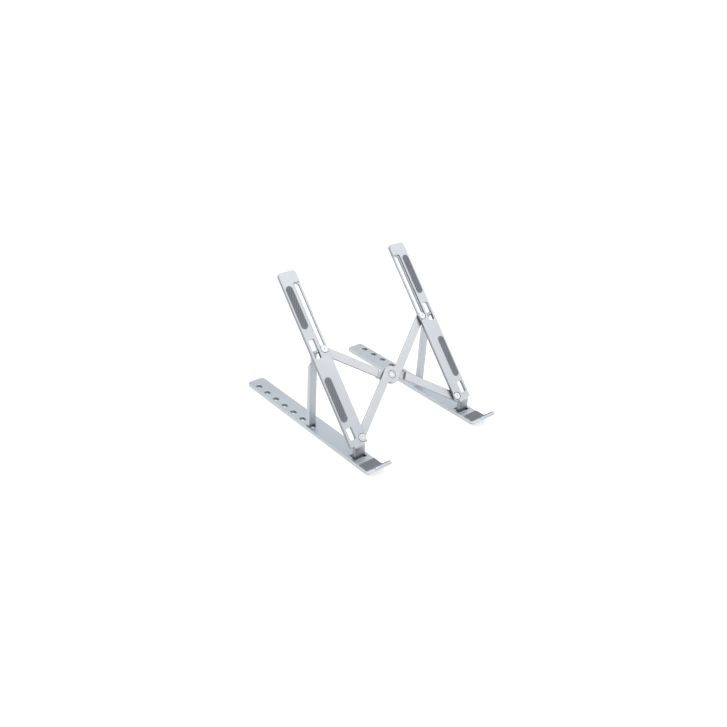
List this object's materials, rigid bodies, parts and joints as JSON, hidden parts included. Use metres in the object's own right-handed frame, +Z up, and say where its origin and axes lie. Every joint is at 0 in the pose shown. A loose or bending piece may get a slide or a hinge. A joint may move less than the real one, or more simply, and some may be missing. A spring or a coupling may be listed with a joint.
{
  "type": "laptop stand",
  "caption": "Folding aluminium laptop stand: base bars with hooks and strut holes, sloping padded arms, prop struts and a scissor of crossed links.",
  "frame": {"origin": "on the ground, under the middle of the stand's box", "axes": "+Z up, +Y from the hooks to the rear ends of the base bars, +X to the right of a person facing the stand's front"},
  "size_m": [0.1886, 0.2532, 0.1777],
  "materials": {
    "base_aluminium": "satin anodised",
    "arm_aluminium": "satin anodised",
    "link_aluminium": "satin anodised",
    "strut_aluminium": "satin anodised",
    "rivet_steel": "bright nickel plated",
    "pin_steel": "ground",
    "grey_silicone": "matt, fine diagonal ribs",
    "white_nylon": "matt"
  },
  "bodies": {
    "base_left": {"base_bar_left": "base_aluminium", "hook_pad_left": "grey_silicone", "front_foot_left": "grey_silicone", "rear_foot_left": "grey_silicone", "hinge_pin_left": "pin_steel"},
    "arm_left": {"arm_left": "arm_aluminium", "lower_pad_left": "grey_silicone", "upper_pad_left": "grey_silicone", "strut_pin_left": "pin_steel", "pivot_rivet_left": "rivet_steel", "pivot_washer_left": "white_nylon"},
    "strut_left": {"strut_left": "strut_aluminium"},
    "top_link": {"top_link": "link_aluminium", "hub_rivet": "rivet_steel", "hub_washer": "white_nylon", "slider_rivet_right": "rivet_steel", "slider_washer_right": "white_nylon"},
    "under_link": {"under_link": "link_aluminium", "slider_rivet_left": "rivet_steel", "slider_washer_left": "white_nylon"},
    "arm_right": {"arm_right": "arm_aluminium", "lower_pad_right": "grey_silicone", "upper_pad_right": "grey_silicone", "strut_pin_right": "pin_steel", "pivot_rivet_right": "rivet_steel", "pivot_washer_right": "white_nylon"},
    "strut_right": {"strut_right": "strut_aluminium"},
    "base_right": {"base_bar_right": "base_aluminium", "hook_pad_right": "grey_silicone", "front_foot_right": "grey_silicone", "rear_foot_right": "grey_silicone", "hinge_pin_right": "pin_steel"}
  },
  "joints": [
    {"name": "arm_lift", "type": "hinge", "parent": "base_left", "child": "arm_left", "pos_m": [-0.0823, -0.083, 0.0032], "axis": [1, 0, 0], "range_deg": [0, 41.05]},
    {"name": "strut_fold_left", "type": "hinge", "parent": "arm_left", "child": "strut_left", "pos_m": [-0.0823, -0.00821, 0.10392], "axis": [1, 0, 0], "range_deg": [-42.47, 0]},
    {"name": "scissor_fold", "type": "hinge", "parent": "arm_left", "child": "top_link", "pos_m": [-0.0753, -0.07699, 0.0222], "axis": [0, -0.7541, 0.6567], "range_deg": [0, 50.26]},
    {"name": "hub_turn", "type": "hinge", "parent": "top_link", "child": "under_link", "pos_m": [0, -0.04186, 0.06254], "axis": [0, -0.7541, 0.6567], "range_deg": [-100.54, 0]},
    {"name": "right_arm_turn", "type": "hinge", "parent": "under_link", "child": "arm_right", "pos_m": [0.0753, -0.07699, 0.0222], "axis": [0, -0.7541, 0.6567], "range_deg": [0, 50.28]},
    {"name": "strut_fold_right", "type": "hinge", "parent": "arm_right", "child": "strut_right", "pos_m": [0.0823, -0.00821, 0.10392], "axis": [1, 0, 0], "range_deg": [-42.47, 0]},
    {"name": "right_base_turn", "type": "hinge", "parent": "arm_right", "child": "base_right", "pos_m": [0.0823, -0.083, 0.0032], "axis": [1, 0, 0], "range_deg": [-41.07, 0]}
  ],
  "couplings": [
    {"joint": "strut_fold_left", "follows": "arm_lift", "ratio": -1.0341},
    {"joint": "strut_fold_right", "follows": "arm_lift", "ratio": -1.0341},
    {"joint": "right_base_turn", "follows": "arm_lift", "ratio": -1},
    {"joint": "hub_turn", "follows": "scissor_fold", "ratio": -2},
    {"joint": "right_arm_turn", "follows": "scissor_fold", "ratio": 1}
  ]
}
